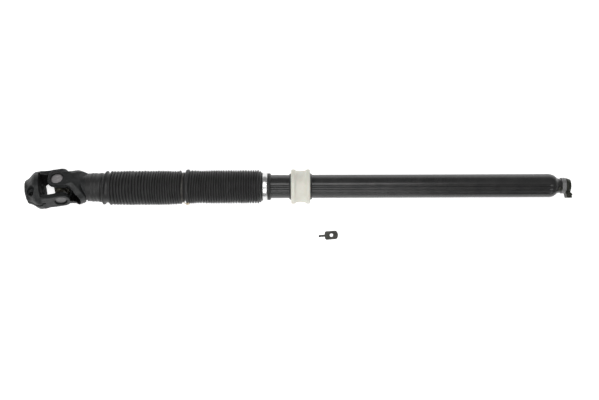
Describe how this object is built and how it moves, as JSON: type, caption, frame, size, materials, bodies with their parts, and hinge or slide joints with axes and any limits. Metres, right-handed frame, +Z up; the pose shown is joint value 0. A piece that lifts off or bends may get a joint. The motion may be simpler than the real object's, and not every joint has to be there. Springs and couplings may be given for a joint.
{
  "type": "universal joint shaft",
  "caption": "Telescopic steering shaft with one universal joint, clamp yoke, rubber bellows, nylon floor collar, grooved profile tube, pinch-clamped upper end and a loose lock plate.",
  "frame": {"origin": "on the shaft axis, halfway along the white floor bearing collar", "axes": "+X along the shaft from the joint towards the upper end, +Z up as the shaft lies, +Y across it"},
  "size_m": [0.8929, 0.1203, 0.0651],
  "materials": {
    "black_paint": "semi-gloss black paint",
    "forged_black": "satin black paint on a forging",
    "machined_steel": "turned bright steel",
    "cup_steel": "hardened grey steel",
    "cross_steel": "oiled dark forging",
    "white_nylon": "natural cast nylon",
    "beige_nylon": "natural nylon tie",
    "coating_nylon": "dark nylon coating",
    "black_rubber": "matte black rubber",
    "seal_rubber": "dark seal rubber",
    "dark_steel": "blackened steel with olive tint",
    "phosphated_steel": "dark phosphated spring steel"
  },
  "bodies": {
    "outer_tube": {"profile_tube": "black_paint", "upper_socket": "black_paint", "socket_pin": "cup_steel", "face_ring": "machined_steel", "upper_clamp": "dark_steel", "upper_clamp_bolt": "dark_steel", "upper_clamp_nut": "dark_steel", "floor_bearing_collar": "white_nylon", "band_clamp": "machined_steel", "bellows": "black_rubber", "waist_tie": "beige_nylon"},
    "inner_shaft": {"inner_shaft_core": "black_paint", "spline_coating": "coating_nylon", "shaft_yoke": "forged_black", "bearing_cup_1": "cup_steel", "bearing_cup_2": "cup_steel", "needle_bearing_1": "machined_steel", "needle_bearing_2": "machined_steel"},
    "cross": {"cross_spider": "cross_steel", "trunnion_seal_1": "seal_rubber", "trunnion_seal_2": "seal_rubber", "trunnion_seal_3": "seal_rubber", "trunnion_seal_4": "seal_rubber"},
    "clamp_yoke": {"clamp_yoke": "forged_black", "bearing_cup_3": "cup_steel", "bearing_cup_4": "cup_steel", "needle_bearing_3": "machined_steel", "needle_bearing_4": "machined_steel"},
    "lock_plate": {"lock_plate": "phosphated_steel"}
  },
  "joints": [
    {"name": "telescope", "type": "slide", "parent": "outer_tube", "child": "inner_shaft", "axis": [1, 0, 0], "range_m": [-0.1, 0.04], "deforming": ["bellows"]},
    {"name": "cross_swing", "type": "hinge", "parent": "inner_shaft", "child": "cross", "pos_m": [-0.3933, 0, 0], "axis": [0, 0.5519, 0.8339], "range_deg": [-41.5, 22]},
    {"name": "yoke_swing", "type": "hinge", "parent": "cross", "child": "clamp_yoke", "pos_m": [-0.3933, 0, 0], "axis": [0.1719, -0.8215, 0.5437], "range_deg": [-32, 32]},
    {"name": "lock_plate_lift", "type": "slide", "parent": "outer_tube", "child": "lock_plate", "axis": [0, 0, 1], "range_m": [0, 0.06]}
  ]
}
